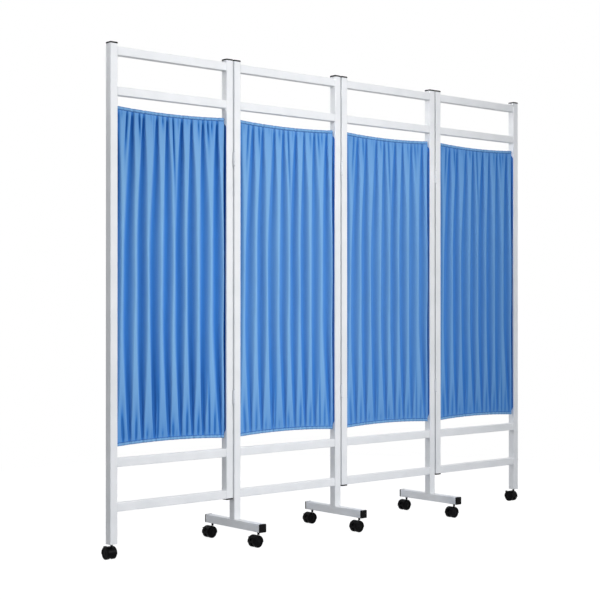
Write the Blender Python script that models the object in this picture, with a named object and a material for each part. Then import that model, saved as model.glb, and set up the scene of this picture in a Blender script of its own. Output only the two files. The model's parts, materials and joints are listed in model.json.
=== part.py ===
# Mobile hospital partition: a four-panel folding ward screen on castors.
# Metres, +Z up. The panels run along X, the front of the screen looks to -Y, and z = 0 is the floor.

import bmesh
import bpy
from math import cos, pi, radians, sin, sqrt
from mathutils import Matrix, Vector

# Panels and their square steel tube
panel_count = 4
panel_width = 0.500
hinge_gap = 0.006
tube_side = 0.028
tube_wall = 0.001
rail_height = 0.028
rail_depth = 0.026
upright_top = 1.665
short_leg_bottom = 0.1535
top_rail_drop = 0.0105
head_gap = 0.1015
foot_gap = 0.116
bottom_rail_rise = 0.001
clearance = 0.0003
overrun = 0.005

# Barrel hinges welded to the front corners of neighbouring uprights
hinge_heights = (0.504, 1.325)
hinge_length = 0.048
middle_knuckle_length = 0.018
knuckle_clearance = 0.0005
barrel_radius = 0.0045
barrel_clearance = 0.0004
pin_radius = 0.002
pin_clearance = 0.00035
pin_head_radius = 0.0032
pin_head_height = 0.0012
weld_reach = 0.0045
weld_depth = 0.0022
weld_bite = 0.0005
round_segments = 12
small_segments = 8

# Moulded caps in the open ends of the tubes
cap_flange = 0.0035
cap_overhang = 0.0005
cap_plug = 0.010
cap_edge = 0.0008

# Cross feet: a bar under the screen, with a spigot up into the leg
foot_length = 0.300
castor_inset = 0.022
spigot_height = 0.040

# Castors: a hood on a swivelling stem, a twin wheel and a brake lever
castor_height = 0.051
wheel_radius = 0.020
wheel_width = 0.012
tread_round = 0.0013
hub_radius = 0.0135
hub_recess = 0.0012
wheel_segments = 16
axle_radius = 0.0025
axle_trail = 0.013
axle_clearance = 0.0004
web_thickness = 0.0094
wheel_side_clearance = 0.0006
wheel_top_clearance = 0.0009
hood_wall = 0.0015
hood_skirt = 0.003
hood_segments = 16
axle_lug_radius = 0.0085
boss_base_radius = 0.0085
boss_top_radius = 0.0055
boss_base = 0.026
boss_top = 0.0455
stem_radius = 0.004
stem_length = 0.014
stem_clearance = 0.0004
collar_radius = 0.0052
collar_height = 0.002
socket_height = 0.020

# Brake lever on the trailing side of the castor, its pivot measured from the axle
lever_pivot_radius = 0.0145
lever_pivot_angle = radians(35)
lever_rise = radians(24)
lever_press = radians(20)
lever_width = 0.006
lever_clearance = 0.0003
lever_hub_radius = 0.0032
lever_hub_clearance = 0.0006
journal_radius = 0.0014
journal_clearance = 0.0003
arm_thickness = 0.0026
tab_start = 0.0100
tab_length = 0.0072
tab_width = 0.014
slot_margin = 0.0007

# Curtains: one gathered sheet between the two uprights of each panel
curtain_top_gap = 0.0325
curtain_bottom_gap = 0.0365
cloth_thickness = 0.0024
hem_height = 0.012
hem_thickness = 0.0056
hem_sag = 0.0075
fold_depth = 0.0085
hem_fold_depth = 0.0022
fold_sharpness = 1.5
fold_steps = 5
open_rows = 3
fold_shares = (0.0, 0.13, 0.25, 0.37, 0.48, 0.60, 0.72, 0.83, 0.955, 1.0)

# How far the castors are turned at rest: the feet trail to -X and the two end legs to +Y
foot_castor_turn = radians(180)
end_castor_turn = radians(90)

# Places that follow from the sizes above
half_tube = tube_side / 2
half_gap = hinge_gap / 2
inner_side = tube_side - 2 * tube_wall
plug_side = inner_side - 2 * clearance
inner_width = panel_width - 2 * tube_side
panel_pitch = panel_width + hinge_gap
screen_width = panel_count * panel_pitch - hinge_gap
foot_top = castor_height + tube_side
castor_spacing = foot_length - 2 * castor_inset
top_rail_z = upright_top - top_rail_drop - rail_height / 2
second_rail_z = top_rail_z - rail_height - head_gap
fourth_rail_z = short_leg_bottom + bottom_rail_rise + rail_height / 2
third_rail_z = fourth_rail_z + rail_height + foot_gap
rail_places = (top_rail_z, second_rail_z, third_rail_z, fourth_rail_z)
hinge_stand_off = sqrt((barrel_radius + barrel_clearance) ** 2 - half_gap ** 2)
hinge_y = -half_tube - hinge_stand_off
pin_bore_radius = pin_radius + pin_clearance
outer_knuckle_length = (hinge_length - middle_knuckle_length) / 2 - knuckle_clearance
curtain_top = second_rail_z - rail_height / 2 - curtain_top_gap
curtain_bottom = third_rail_z + rail_height / 2 + curtain_bottom_gap
axle_z = wheel_radius * cos(pi / wheel_segments)
wheel_inner = web_thickness / 2 + wheel_side_clearance
wheel_outer = wheel_inner + wheel_width
cavity_radius = wheel_radius + wheel_top_clearance
hood_radius = cavity_radius + hood_wall
hood_half_width = wheel_outer + wheel_side_clearance
lever_pivot_x = axle_trail + lever_pivot_radius * cos(lever_pivot_angle)
lever_pivot_z = axle_z + lever_pivot_radius * sin(lever_pivot_angle)


def panel_left(panel):
    return (panel - 1) * panel_pitch - screen_width / 2


def hinge_x(left_panel):
    return panel_left(left_panel) + panel_width + half_gap


def leg_x(panel, side):
    inset = half_tube if side == "left" else panel_width - half_tube
    return panel_left(panel) + inset


def clear_scene():
    for item in list(bpy.data.objects):
        bpy.data.objects.remove(item)


def make_material(name, colour, roughness, metallic=0.0):
    material = bpy.data.materials.new(name)
    material.use_nodes = True
    shader = material.node_tree.nodes["Principled BSDF"]
    shader.inputs["Base Color"].default_value = (*colour, 1)
    shader.inputs["Roughness"].default_value = roughness
    shader.inputs["Metallic"].default_value = metallic
    material.diffuse_color = (*colour, 1)
    return material


def mesh_of(name, build):
    bm = bmesh.new()
    build(bm)
    bmesh.ops.recalc_face_normals(bm, faces=bm.faces)
    mesh = bpy.data.meshes.new(name)
    bm.to_mesh(mesh)
    bm.free()
    return mesh


def box(low, high):
    low, high = Vector(low), Vector(high)
    size = high - low
    place = Matrix.Translation((low + high) / 2) @ Matrix.Diagonal((*size, 1))
    return mesh_of("box", lambda bm: bmesh.ops.create_cube(bm, size=1, matrix=place))


def rod(start, end, radius, segments, end_radius=None):
    start, end = Vector(start), Vector(end)
    along = end - start
    turn = Vector((0, 0, 1)).rotation_difference(along).to_matrix().to_4x4()
    place = Matrix.Translation((start + end) / 2) @ turn
    last_radius = radius if end_radius is None else end_radius
    return mesh_of("rod", lambda bm: bmesh.ops.create_cone(
        bm, cap_ends=True, segments=segments, radius1=radius, radius2=last_radius,
        depth=along.length, matrix=place))


def cross_rod(x, z, half_length, radius, segments):
    return rod((x, -half_length, z), (x, half_length, z), radius, segments)


def turned(name, profile, segments, axis):
    """A solid turned about Y or Z from (place along the axis, radius) pairs, with a flat side at the bottom."""
    def build(bm):
        rings = []
        for along, radius in profile:
            turns = [2 * pi * (step + 0.5) / segments - pi / 2 for step in range(segments)]
            across = [(radius * cos(turn), radius * sin(turn)) for turn in turns]
            rings.append([bm.verts.new((u, along, v) if axis == "Y" else (u, v, along)) for u, v in across])
        for first, second in zip(rings, rings[1:]):
            for step in range(segments):
                after = (step + 1) % segments
                bm.faces.new((first[step], first[after], second[after], second[step]))
        bm.faces.new(rings[0])
        bm.faces.new(rings[-1])

    return smooth(mesh_of(name, build))


def mirrored(half):
    """A turning profile that is alike on both sides of its middle."""
    return [(-along, radius) for along, radius in reversed(half)] + half


def carved(name, solids, cuts=()):
    """Join the solids and take the cuts away, as one mesh."""
    scene = bpy.context.scene.collection.objects
    base = bpy.data.objects.new(name, solids[0])
    scene.link(base)
    tools = []
    for operation, meshes in (("UNION", solids[1:]), ("DIFFERENCE", cuts)):
        for mesh in meshes:
            tool = bpy.data.objects.new("tool", mesh)
            scene.link(tool)
            tools.append(tool)
            step = base.modifiers.new("Boolean", "BOOLEAN")
            step.operation = operation
            step.solver = "EXACT"
            step.object = tool
    evaluated = base.evaluated_get(bpy.context.evaluated_depsgraph_get())
    mesh = bpy.data.meshes.new_from_object(evaluated)
    mesh.name = name
    for item in [base, *tools]:
        bpy.data.objects.remove(item)
    return mesh


def smooth(mesh, angle=35):
    mesh.shade_smooth()
    mesh.set_sharp_from_angle(angle=radians(angle))
    return mesh


def make_empty(name, parent=None, place=(0, 0, 0), turn=0.0):
    empty = bpy.data.objects.new(name, None)
    bpy.context.scene.collection.objects.link(empty)
    empty.parent = parent
    empty.location = place
    empty.rotation_euler.z = turn
    return empty


def make_piece(name, mesh, material, parent, place=(0, 0, 0), turn=(0, 0, 0)):
    piece = bpy.data.objects.new(name, mesh)
    bpy.context.scene.collection.objects.link(piece)
    if not mesh.materials:
        mesh.materials.append(material)
    piece.parent = parent
    piece.location = place
    piece.rotation_euler = turn
    return piece


# Panel frames, in the panel's own place: x = 0 at its left edge, y = 0 in the middle of the tube

def tube_run(low, high, wall):
    """An upright from low to high: the outside when the wall is zero, the bore when it isn't."""
    half = half_tube - wall
    return lambda x: box((x - half, -half, low), (x + half, half, high))


def knuckle_spans(height, outer):
    """The height ranges of one hinge's two outer knuckles, or of its middle one."""
    reach = hinge_length / 2
    if outer:
        return ((height - reach, height - reach + outer_knuckle_length),
                (height + reach - outer_knuckle_length, height + reach))
    return ((height - middle_knuckle_length / 2, height + middle_knuckle_length / 2),)


def knuckle(axis_x, side, low, high):
    """A barrel on the hinge axis and the weld that holds it to the tube on that side (-1 left, 1 right)."""
    barrel = rod((axis_x, hinge_y, low), (axis_x, hinge_y, high), barrel_radius, round_segments)
    near = axis_x + side * barrel_radius / 3
    far = near + side * weld_reach
    back = -half_tube + weld_bite
    weld = box((min(near, far), back - weld_depth, low), (max(near, far), back, high))
    return [barrel, weld]


def frame_mesh(panel, left_bottom, right_bottom, left_hinge, right_hinge):
    """A welded ladder frame. Each hinge argument is None, "outer" or "middle"."""
    left, right = half_tube, panel_width - half_tube
    bottoms = {left: left_bottom, right: right_bottom}
    solids = [tube_run(bottoms[x], upright_top, 0)(x) for x in (left, right)]
    cuts = [tube_run(bottoms[x] - overrun, upright_top + overrun, tube_wall)(x) for x in (left, right)]
    for z in rail_places:
        solids.append(box((left, -rail_depth / 2, z - rail_height / 2),
                          (right, rail_depth / 2, z + rail_height / 2)))
        bore_depth = rail_depth / 2 - tube_wall
        bore_height = rail_height / 2 - tube_wall
        cuts.append(box((left, -bore_depth, z - bore_height), (right, bore_depth, z + bore_height)))
    for axis_x, side, kind in ((-half_gap, 1, left_hinge), (panel_width + half_gap, -1, right_hinge)):
        if kind is None:
            continue
        for height in hinge_heights:
            for low, high in knuckle_spans(height, kind == "outer"):
                solids += knuckle(axis_x, side, low, high)
            reach = hinge_length / 2 + overrun
            cuts.append(rod((axis_x, hinge_y, height - reach), (axis_x, hinge_y, height + reach),
                            pin_bore_radius, round_segments))
    return smooth(carved(f"panel_{panel}_frame", solids, cuts))


def pin_mesh():
    """A steel pin with a formed head at each end, its origin at the hinge's mid height."""
    reach = hinge_length / 2 + clearance
    half = [(reach, pin_radius), (reach, pin_head_radius), (reach + pin_head_height, pin_radius)]
    return turned("hinge_pin", mirrored(half), round_segments, "Z")


def cap_mesh(name):
    """A flange on the tube's end at z = 0 and up, over a plug that goes down into the bore."""
    reach = half_tube + cap_overhang
    flange = box((-reach, -reach, clearance), (reach, reach, clearance + cap_flange))
    bm = bmesh.new()
    bm.from_mesh(flange)
    upper = [edge for edge in bm.edges if max(vert.co.z for vert in edge.verts) > cap_flange]
    bmesh.ops.bevel(bm, geom=upper, offset=cap_edge, segments=1, affect="EDGES")
    bm.to_mesh(flange)
    bm.free()
    half = plug_side / 2
    plug = box((-half, -half, -cap_plug), (half, half, cap_flange / 2))
    return carved(name, [flange, plug])


def foot_mesh(foot):
    """A cross bar along Y with its origin on the floor under the leg that it carries."""
    half = half_tube - tube_wall
    bar = box((-half_tube, -foot_length / 2, castor_height), (half_tube, foot_length / 2, foot_top))
    spigot_half = plug_side / 2
    spigot = box((-spigot_half, -spigot_half, foot_top - tube_wall / 2),
                 (spigot_half, spigot_half, foot_top + spigot_height))
    bore = box((-half, -foot_length / 2 - overrun, castor_height + tube_wall),
               (half, foot_length / 2 + overrun, foot_top - tube_wall))
    holes = [rod((0, y, castor_height - overrun), (0, y, castor_height + half_tube),
                 stem_radius + stem_clearance, round_segments)
             for y in (-castor_spacing / 2, castor_spacing / 2)]
    return smooth(carved(f"foot_{foot}_bar", [bar, spigot], [bore, *holes]))


def socket_mesh():
    """A steel block inside an end leg's foot, bored for the castor's stem, its origin on the floor."""
    half = plug_side / 2
    low = castor_height + clearance
    block = box((-half, -half, low), (half, half, low + socket_height))
    bore = rod((0, 0, low - overrun), (0, 0, low + socket_height + overrun),
               stem_radius + stem_clearance, round_segments)
    return smooth(carved("stem_socket", [block], [bore]))


# Castors, with the swivel axis at x = y = 0, the floor at z = 0 and the wheels trailing to +X

def castor_body_mesh():
    drum = cross_rod(axle_trail, axle_z, hood_half_width, hood_radius, hood_segments)
    boss = rod((0, 0, boss_base), (0, 0, boss_top), boss_base_radius, round_segments, boss_top_radius)
    lug = cross_rod(axle_trail, axle_z, web_thickness / 2, axle_lug_radius, round_segments)
    stem = rod((0, 0, boss_top - overrun), (0, 0, castor_height + stem_length), stem_radius, round_segments)
    collar_top = castor_height - clearance
    collar = rod((0, 0, collar_top - collar_height), (0, 0, collar_top), collar_radius, round_segments)
    skirt_z = axle_z - hood_skirt
    reach = hood_radius + boss_base_radius + overrun
    below = box((axle_trail - reach, -reach, -overrun), (axle_trail + reach, reach, skirt_z))
    cavities = [rod((axle_trail, side * web_thickness / 2, axle_z),
                    (axle_trail, side * (hood_half_width + overrun), axle_z), cavity_radius, hood_segments)
                for side in (-1, 1)]
    shell = carved("castor_shell", [drum, boss], [below, *cavities])
    bore = cross_rod(axle_trail, axle_z, hood_half_width, axle_radius + axle_clearance, small_segments)
    slot_half = lever_width / 2 + lever_clearance
    slot = box((lever_pivot_x - lever_hub_radius - lever_hub_clearance, -slot_half, slot_floor()),
               (axle_trail + hood_radius + overrun, slot_half, slot_roof()))
    journal_bore = cross_rod(lever_pivot_x, lever_pivot_z, web_thickness / 2 + overrun,
                             journal_radius + journal_clearance, small_segments)
    return smooth(carved("castor_body", [shell, lug, stem, collar], [bore, slot, journal_bore]))


def slot_roof():
    """The lever's arm leaves the hood at its highest at rest."""
    out = hood_radius - lever_pivot_radius
    top = lever_pivot_z + out * sin(lever_rise) + arm_thickness
    return max(top, lever_pivot_z + lever_hub_radius) + slot_margin


def slot_floor():
    """Pressed down, the arm leaves the hood at its lowest."""
    out = hood_radius - lever_pivot_radius
    bottom = lever_pivot_z + out * sin(lever_rise - lever_press) - arm_thickness
    return min(bottom, lever_pivot_z - lever_hub_radius) - slot_margin


def castor_wheels_mesh():
    """Two wheels and the axle between them, turned about Y round the origin."""
    half = [(wheel_inner, axle_radius), (wheel_inner, wheel_radius), (wheel_outer - tread_round, wheel_radius),
            (wheel_outer, wheel_radius - tread_round), (wheel_outer, hub_radius),
            (wheel_outer - hub_recess, hub_radius - hub_recess)]
    return turned("castor_wheels", mirrored(half), wheel_segments, "Y")


def castor_lever_mesh():
    """A lever on its pivot at the origin: hub, journals, an arm out of the hood and a tab to press."""
    half = lever_width / 2
    hub = cross_rod(0, 0, half, lever_hub_radius, round_segments)
    journals = cross_rod(0, 0, web_thickness / 2, journal_radius, small_segments)
    arm = box((0, -half, -arm_thickness / 2), (tab_start + arm_thickness, half, arm_thickness / 2))
    tab = box((tab_start, -tab_width / 2, -arm_thickness / 2),
              (tab_start + tab_length, tab_width / 2, arm_thickness / 2))
    mesh = carved("castor_lever", [hub, journals, arm, tab])
    mesh.transform(Matrix.Rotation(-lever_rise, 4, "Y"))
    return smooth(mesh)


# Curtains

def fold_place(share):
    """0 on the crown of a fold and 1 in the crease beside it."""
    for first, last in zip(fold_shares, fold_shares[1:]):
        if share <= last:
            return abs(2 * (share - first) / (last - first) - 1) ** fold_sharpness
    return 1.0


def curtain_mesh():
    """A sheet with an outline of real thickness, x = 0 in the middle of the panel and z from the floor."""
    columns = [fold_shares[0]]
    for first, last in zip(fold_shares, fold_shares[1:]):
        columns += [first + (last - first) * (step + 1) / fold_steps for step in range(fold_steps)]
    width = inner_width - 2 * clearance
    height = curtain_top - curtain_bottom
    hem_share = hem_height / height
    open_share = 1 - 2 * hem_share
    rows = [0.0] + [hem_share + open_share * step / open_rows for step in range(open_rows + 1)] + [1.0]

    def point(share, row, face):
        sag = hem_sag * 4 * share * (1 - share)
        z = curtain_bottom + sag + row * (height - 2 * sag)
        hemmed = row in (rows[0], rows[-1])
        depth = hem_fold_depth + (fold_depth - hem_fold_depth) * sin(pi * row) ** 0.5
        thickness = hem_thickness if hemmed else cloth_thickness
        y = depth * (2 * fold_place(share) - 1) + face * thickness / 2
        return (width * (share - 0.5), y, z)

    def build(bm):
        sheets = [[[bm.verts.new(point(share, row, face)) for share in columns] for row in rows]
                  for face in (-1, 1)]
        last_row, last_column = len(rows) - 1, len(columns) - 1
        for sheet in sheets:
            for row in range(last_row):
                for column in range(last_column):
                    bm.faces.new((sheet[row][column], sheet[row][column + 1],
                                  sheet[row + 1][column + 1], sheet[row + 1][column]))
        front, back = sheets
        for row in range(last_row):
            for column in (0, last_column):
                bm.faces.new((front[row][column], front[row + 1][column],
                              back[row + 1][column], back[row][column]))
        for column in range(last_column):
            for row in (0, last_row):
                bm.faces.new((front[row][column], front[row][column + 1],
                              back[row][column + 1], back[row][column]))

    return smooth(mesh_of("curtain", build), 50)


# The assembly

clear_scene()

frame_white = make_material("white powder-coated steel", (0.86, 0.87, 0.88), 0.38)
cap_black = make_material("black polyethylene cap", (0.02, 0.02, 0.022), 0.5)
curtain_blue = make_material("blue polyester curtain", (0.07, 0.22, 0.58), 0.75)
castor_black = make_material("black nylon castor", (0.015, 0.015, 0.016), 0.42)
wheel_black = make_material("black polyamide wheel", (0.02, 0.02, 0.02), 0.5)
lever_black = make_material("black nylon lever", (0.018, 0.018, 0.02), 0.38)
zinc_steel = make_material("zinc-plated steel", (0.62, 0.63, 0.65), 0.35, 1.0)

# Panel 2 stands still; the others hang on its hinges, one on the next
pivots = {
    1: Vector((hinge_x(1), hinge_y, 0)),
    2: Vector((0, 0, 0)),
    3: Vector((hinge_x(2), hinge_y, 0)),
    4: Vector((hinge_x(3), hinge_y, 0)),
}
panel_empties = {2: make_empty("panel_2_place")}
panel_empties[1] = make_empty("panel_1_pivot", panel_empties[2], pivots[1])
panel_empties[3] = make_empty("panel_3_pivot", panel_empties[2], pivots[3])
panel_empties[4] = make_empty("panel_4_pivot", panel_empties[3], pivots[4] - pivots[3])


def on_panel(panel, x, y, z):
    """A world place as its panel's empty sees it."""
    return Vector((x, y, z)) - pivots[panel]


# Each panel's leg ends: an end leg down to its castor, a leg on a cross foot, or a short leg with a cap
end_leg = castor_height
foot_leg = foot_top + clearance
leg_bottoms = {
    1: (end_leg, short_leg_bottom),
    2: (foot_leg, foot_leg),
    3: (short_leg_bottom, foot_leg),
    4: (short_leg_bottom, end_leg),
}
panel_hinges = {1: (None, "middle"), 2: ("outer", "outer"), 3: ("middle", "outer"), 4: ("middle", None)}

shared_curtain = curtain_mesh()
shared_cap = cap_mesh("tube_cap")
for panel in range(1, panel_count + 1):
    empty = panel_empties[panel]
    frame = frame_mesh(panel, *leg_bottoms[panel], *panel_hinges[panel])
    make_piece(f"panel_{panel}_frame", frame, frame_white, empty, on_panel(panel, panel_left(panel), 0, 0))
    middle = panel_left(panel) + panel_width / 2
    make_piece(f"panel_{panel}_curtain", shared_curtain, curtain_blue, empty, on_panel(panel, middle, 0, 0))
    for side in ("left", "right"):
        make_piece(f"panel_{panel}_{side}_top_cap", shared_cap, cap_black, empty,
                   on_panel(panel, leg_x(panel, side), 0, upright_top))

for panel, side in ((1, "right"), (3, "left"), (4, "left")):
    make_piece(f"panel_{panel}_bottom_cap", shared_cap, cap_black, panel_empties[panel],
               on_panel(panel, leg_x(panel, side), 0, short_leg_bottom), (pi, 0, 0))

# The pins stay with the outer knuckles
shared_pin = pin_mesh()
for left_panel, carrier in ((1, 2), (2, 2), (3, 3)):
    for place, height in zip(("lower", "upper"), hinge_heights):
        make_piece(f"hinge_{left_panel}{left_panel + 1}_{place}_pin", shared_pin, zinc_steel,
                   panel_empties[carrier], on_panel(carrier, hinge_x(left_panel), hinge_y, height))

foot_legs = {1: (2, "left"), 2: (2, "right"), 3: (3, "right")}
for foot, (panel, side) in foot_legs.items():
    x = leg_x(panel, side)
    empty = panel_empties[panel]
    make_piece(f"foot_{foot}_bar", foot_mesh(foot), frame_white, empty, on_panel(panel, x, 0, 0))
    for end, sign in (("front", -1), ("rear", 1)):
        bar_end = on_panel(panel, x, sign * foot_length / 2, castor_height + half_tube)
        make_piece(f"foot_{foot}_{end}_cap", shared_cap, cap_black, empty, bar_end, (-sign * pi / 2, 0, 0))

shared_socket = socket_mesh()
for panel, side in ((1, "left"), (4, "right")):
    make_piece(f"panel_{panel}_stem_socket", shared_socket, zinc_steel, panel_empties[panel],
               on_panel(panel, leg_x(panel, side), 0, 0))

# Castors: name, the panel that carries it, its place on the floor and how it is turned at rest
castor_places = [("left_end", 1, leg_x(1, "left"), 0, end_castor_turn)]
for foot, (panel, side) in foot_legs.items():
    for end, sign in (("rear", 1), ("front", -1)):
        castor_places.append((f"foot_{foot}_{end}", panel, leg_x(panel, side),
                              sign * castor_spacing / 2, foot_castor_turn))
castor_places.append(("right_end", 4, leg_x(4, "right"), 0, end_castor_turn))

shared_body = castor_body_mesh()
shared_wheels = castor_wheels_mesh()
shared_lever = castor_lever_mesh()
for name, panel, x, y, turn in castor_places:
    swivel = make_empty(f"{name}_swivel", panel_empties[panel], on_panel(panel, x, y, 0), turn)
    make_piece(f"{name}_castor_body", shared_body, castor_black, swivel)
    make_piece(f"{name}_castor_wheels", shared_wheels, wheel_black, swivel, (axle_trail, 0, axle_z))
    make_piece(f"{name}_brake_lever", shared_lever, lever_black, swivel, (lever_pivot_x, 0, lever_pivot_z))
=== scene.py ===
import json
from bisect import bisect_right
from math import cos, exp, pi, radians, sin

import bmesh
import bpy
from mathutils import Matrix, Vector, noise

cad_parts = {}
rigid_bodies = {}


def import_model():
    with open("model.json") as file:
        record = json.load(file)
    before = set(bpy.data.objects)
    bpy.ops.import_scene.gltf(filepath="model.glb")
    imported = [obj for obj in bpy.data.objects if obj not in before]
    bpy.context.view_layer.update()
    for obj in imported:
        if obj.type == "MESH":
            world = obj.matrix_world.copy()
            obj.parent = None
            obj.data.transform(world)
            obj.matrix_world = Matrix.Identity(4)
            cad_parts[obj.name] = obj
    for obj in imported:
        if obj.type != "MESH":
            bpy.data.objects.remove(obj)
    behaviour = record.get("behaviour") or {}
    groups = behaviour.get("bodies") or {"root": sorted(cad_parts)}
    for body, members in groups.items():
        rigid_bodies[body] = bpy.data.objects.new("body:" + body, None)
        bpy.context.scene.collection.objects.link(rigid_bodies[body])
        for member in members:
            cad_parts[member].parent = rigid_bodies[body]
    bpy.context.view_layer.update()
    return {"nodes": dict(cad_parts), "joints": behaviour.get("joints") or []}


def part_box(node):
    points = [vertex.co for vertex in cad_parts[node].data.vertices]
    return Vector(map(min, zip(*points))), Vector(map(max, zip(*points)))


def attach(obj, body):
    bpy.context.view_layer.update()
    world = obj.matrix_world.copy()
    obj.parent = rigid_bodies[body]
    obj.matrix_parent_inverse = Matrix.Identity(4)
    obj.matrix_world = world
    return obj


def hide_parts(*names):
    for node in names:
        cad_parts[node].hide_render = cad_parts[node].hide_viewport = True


for item in list(bpy.data.objects):
    bpy.data.objects.remove(item)
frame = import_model()
print("frame loaded")

# Small helpers for colours, nodes and meshes


def hexColour(code):
    channels = [int(code[place:place + 2], 16) / 255 for place in (1, 3, 5)]
    linear = [value / 12.92 if value <= 0.04045 else ((value + 0.055) / 1.055) ** 2.4 for value in channels]
    return (*linear, 1)


def addNode(tree, kind, inputs=None, feeds=None, **settings):
    # inputs holds values or other nodes' outputs; feeds is the socket that the first output goes to
    node = tree.nodes.new("ShaderNode" + kind)
    for name, value in settings.items():
        setattr(node, name, value)
    for socket, value in (inputs or {}).items():
        if isinstance(value, bpy.types.NodeSocket):
            tree.links.new(value, node.inputs[socket])
        else:
            node.inputs[socket].default_value = value
    if feeds:
        tree.links.new(node.outputs[0], feeds)
    return node


def newMaterial(name, look):
    # look holds values for the Principled shader's own sockets, colours in hex
    material = bpy.data.materials.new(name)
    material.use_nodes = True
    tree = material.node_tree
    shader = tree.nodes["Principled BSDF"]
    for socket, value in look.items():
        shader.inputs[socket].default_value = hexColour(value) if isinstance(value, str) else value
    material.diffuse_color = shader.inputs["Base Color"].default_value
    return material, tree, shader


def setTones(ramp, tones):
    # tones runs from the lowest place up: (place, hex colour)
    for element, (place, code) in zip(ramp.elements, (tones[0], tones[-1])):
        element.position = place
        element.color = hexColour(code)
    for place, code in tones[1:-1]:
        ramp.elements.new(place).color = hexColour(code)


def clamped(value, most=1.0):
    return min(most, max(0.0, value))


def addObject(name, data):
    made = bpy.data.objects.new(name, data)
    bpy.context.scene.collection.objects.link(made)
    return made


def arc(radius, start, sweep, steps):
    turns = [start + sweep * step / steps for step in range(steps + 1)]
    return [(radius * cos(turn), radius * sin(turn)) for turn in turns]


def circle(radius, segments):
    return arc(radius, 0, 2 * pi, segments)[:-1]


def roundedSquare(halfU, halfV, corner, steps=5):
    points = []
    for signU, signV, start in ((1, 1, 0), (-1, 1, 90), (-1, -1, 180), (1, -1, 270)):
        points += [(signU * (halfU - corner) + u, signV * (halfV - corner) + v)
                   for u, v in arc(corner, radians(start), pi / 2, steps)]
    return points


def ringAt(outline, along, axis="Z", centre=(0, 0, 0)):
    # the outline's two directions are the axes after the given one
    x, y, z = centre
    if axis == "X":
        return [Vector((x + along, y + u, z + v)) for u, v in outline]
    if axis == "Y":
        return [Vector((x + u, y + along, z + v)) for u, v in outline]
    return [Vector((x + u, y + v, z + along)) for u, v in outline]


def skin(bm, rings, ends="lids"):
    loops = [[bm.verts.new(point) for point in ring] for ring in rings]
    pairs = list(zip(loops, loops[1:]))
    if ends == "joined":
        pairs.append((loops[-1], loops[0]))
    for first, second in pairs:
        for step in range(len(first)):
            after = (step + 1) % len(first)
            bm.faces.new((first[step], first[after], second[after], second[step]))
    if ends == "lids":
        bm.faces.new(loops[0])
        bm.faces.new(loops[-1])


def turned(bm, profile, axis="Z", centre=(0, 0, 0), segments=40, ends="lids"):
    # profile is a list of (place along the axis, radius)
    skin(bm, [ringAt(circle(radius, segments), along, axis, centre) for along, radius in profile], ends)


def addBead(bm, path, normal, radii, sides=7, joined=True):
    # a weld or cord of changing radius along a flat path
    rings = []
    normal = Vector(normal)
    last = len(path) - 1
    for index, point in enumerate(path):
        before = path[index - 1] if joined or index else point
        after = path[(index + 1) % len(path)] if joined or index < last else point
        across = (after - before).cross(normal).normalized()
        turns = [2 * pi * side / sides for side in range(sides)]
        rings.append([point + radii[index] * (cos(turn) * across + sin(turn) * normal) for turn in turns])
    skin(bm, rings, "joined" if joined else "lids")


def walk(outline, count):
    # the same closed outline in equal steps
    closed = outline + outline[:1]
    lengths = [0.0]
    for (u, v), (nextU, nextV) in zip(closed, closed[1:]):
        lengths.append(lengths[-1] + ((nextU - u) ** 2 + (nextV - v) ** 2) ** 0.5)
    points = []
    for step in range(count):
        reach = lengths[-1] * step / count
        index = min(bisect_right(lengths, reach) - 1, len(outline) - 1)
        share = (reach - lengths[index]) / max(lengths[index + 1] - lengths[index], 1e-9)
        (u, v), (nextU, nextV) = closed[index], closed[index + 1]
        points.append((u + share * (nextU - u), v + share * (nextV - v)))
    return points


sharpAngles = {"plain": 40, "moulded": 35, "cloth": 60}  # degrees between faces that leave a sharp edge


def meshFrom(name, bm, material, kind="plain"):
    bmesh.ops.recalc_face_normals(bm, faces=bm.faces)
    mesh = bpy.data.meshes.new(name)
    bm.to_mesh(mesh)
    bm.free()
    mesh.shade_smooth()
    mesh.set_sharp_from_angle(angle=radians(sharpAngles[kind]))
    mesh.materials.append(material)
    return mesh


def addPiece(name, mesh, body, stands=(), place=(0, 0, 0), turn=(0, 0, 0), weighted=True):
    piece = addObject(name, mesh)
    piece.location = place
    piece.rotation_euler = turn
    if weighted:
        piece.modifiers.new("evenShading", "WEIGHTED_NORMAL").keep_sharp = True
    bpy.context.view_layer.update()
    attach(piece, body)
    if stands:
        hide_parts(*stands)
    return piece


def carve(name, solid, cutters):
    # takes the cutter meshes out of the solid mesh
    base = addObject(name, solid)
    tools = [addObject("cutter", cutter) for cutter in cutters]
    for tool in tools:
        step = base.modifiers.new("cut", "BOOLEAN")
        step.operation = "DIFFERENCE"
        step.solver = "EXACT"
        step.object = tool
    mesh = bpy.data.meshes.new_from_object(base.evaluated_get(bpy.context.evaluated_depsgraph_get()))
    for used in [base, *tools]:
        bpy.data.objects.remove(used)
    mesh.shade_smooth()
    mesh.set_sharp_from_angle(angle=radians(sharpAngles["moulded"]))
    return mesh


def middleOf(node):
    low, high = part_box(node)
    return (Vector(low) + Vector(high)) / 2


# Camera, at the height of the screen's middle and turned from its front to its left

camera = {
    "place": (-3.3972, -3.6786, 0.8212),  # metres
    "turn": 41.0825,  # degrees from +Y towards +X
    "tilt": 0.2019,  # degrees up
    "lens": 81.05,  # millimetres, as the sensor
    "sensor": 36,
    "sight": 100,  # metres
}
cameraData = bpy.data.cameras.new("camera")
cameraData.lens = camera["lens"]
cameraData.sensor_width = camera["sensor"]
cameraData.clip_end = camera["sight"]
cameraObject = addObject("camera", cameraData)
cameraObject.location = camera["place"]
cameraObject.rotation_euler = (radians(90 + camera["tilt"]), 0, radians(-camera["turn"]))
bpy.context.scene.camera = cameraObject
bpy.context.scene.view_settings.view_transform = "Standard"

# Studio: an even white room with four soft lamps

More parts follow.
